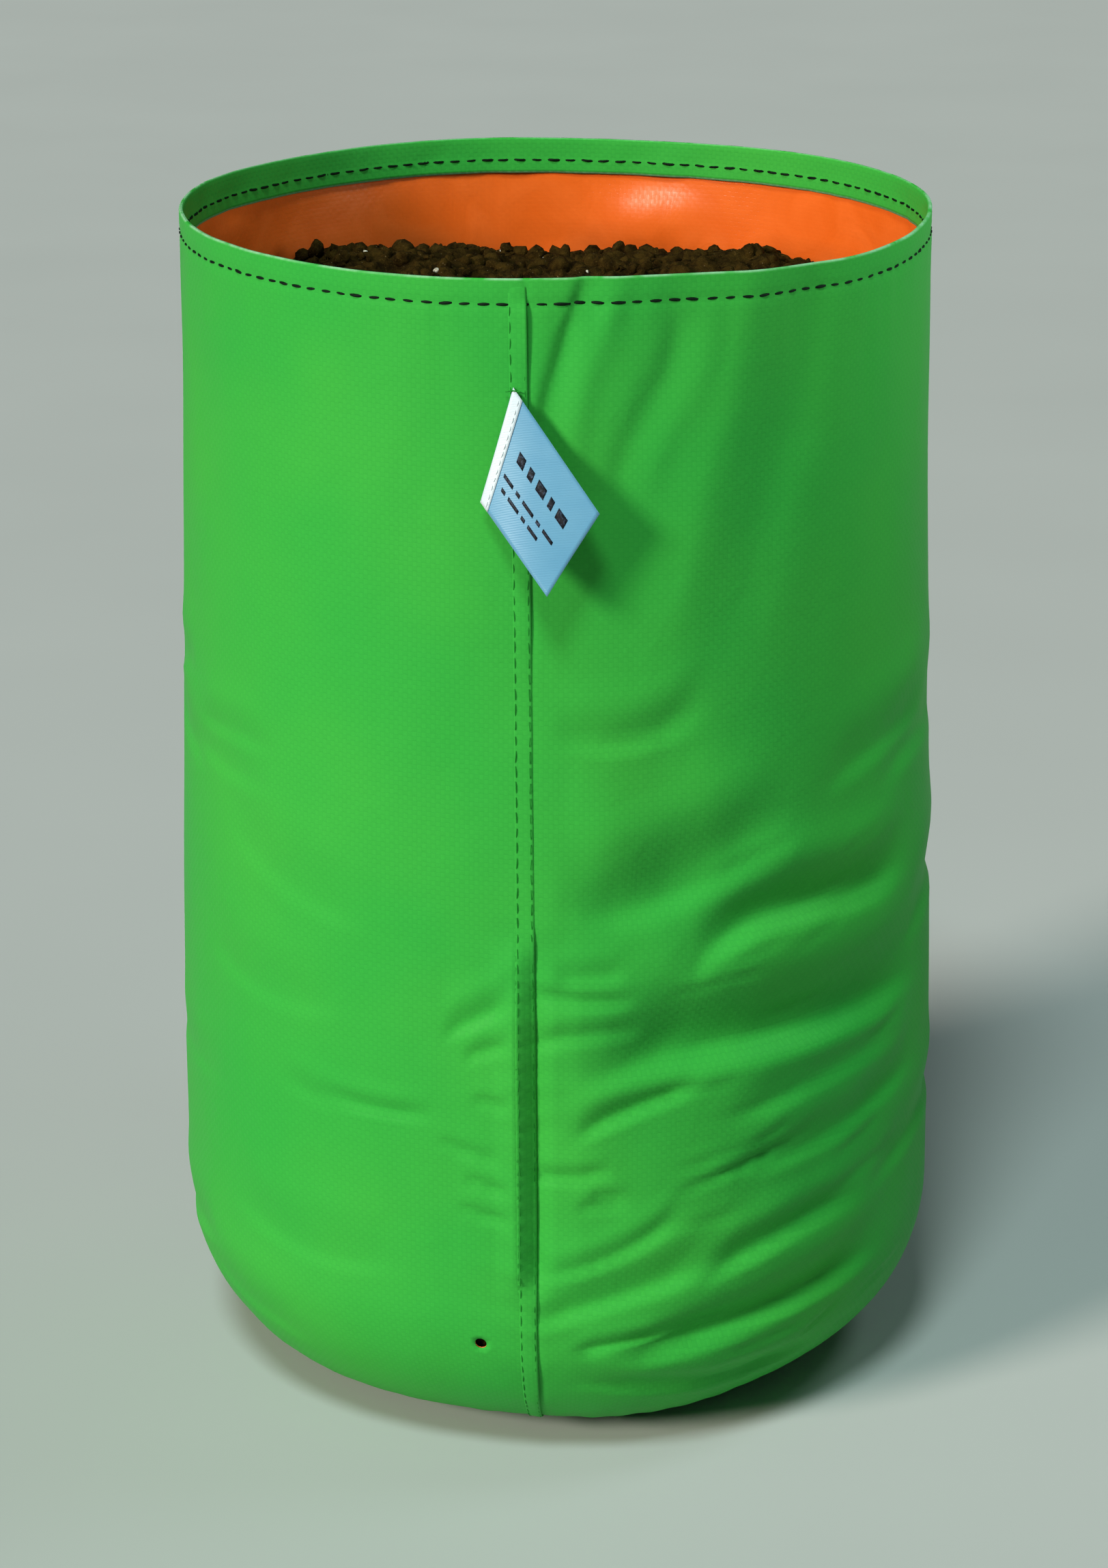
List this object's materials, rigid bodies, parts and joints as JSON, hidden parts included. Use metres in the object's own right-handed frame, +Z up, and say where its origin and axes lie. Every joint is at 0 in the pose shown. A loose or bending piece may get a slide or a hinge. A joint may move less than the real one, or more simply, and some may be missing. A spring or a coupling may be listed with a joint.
{
  "type": "fabric grow bag",
  "caption": "Tall round planter bag of laminated woven cloth with an orange lining, hemmed rim, lapped side seam and hanging label, standing full of potting soil.",
  "frame": {"origin": "centre of the flat underside of the base, where the bag stands", "axes": "+Z up along the bag's height, -Y towards the lapped side seam and its label, +X to the right as seen from the seam"},
  "size_m": [0.394, 0.4067, 0.61],
  "materials": {
    "green_weave": "satin",
    "orange_film": "satin",
    "thread": "matte",
    "soil": "matte",
    "perlite": "matte",
    "label_cloth": "satin",
    "label_thread": "matte",
    "label_ink": "matte"
  },
  "bodies": {
    "bag": {"wall_outer_weave": "green_weave", "wall_weave_above_soil": "green_weave", "wall_inner_film": "orange_film", "rim_hem_band": "green_weave", "side_seam_overlap": "green_weave", "side_seam_turned_edge": "green_weave", "base_outer_weave": "green_weave", "base_inner_film": "orange_film", "base_seam_allowance": "green_weave", "hem_stitches_outside": "thread", "hem_stitches_inside": "thread", "seam_edge_stitches": "thread", "seam_second_stitches": "thread", "seam_stitches_inside": "thread", "base_seam_stitches": "thread", "potting_soil": "soil", "soil_crumbs": "soil", "perlite_grains": "perlite"},
    "label": {"label_leaf": "label_cloth", "label_turned_edge": "label_cloth", "label_edge_stitches": "label_thread", "label_printed_bars": "label_ink", "label_tack": "thread"}
  },
  "joints": [
    {"name": "label_flap", "type": "hinge", "parent": "bag", "child": "label", "pos_m": [-0.00706, -0.18909, 0.5605], "axis": [-1, 0, 0], "range_deg": [-6, 120]}
  ]
}
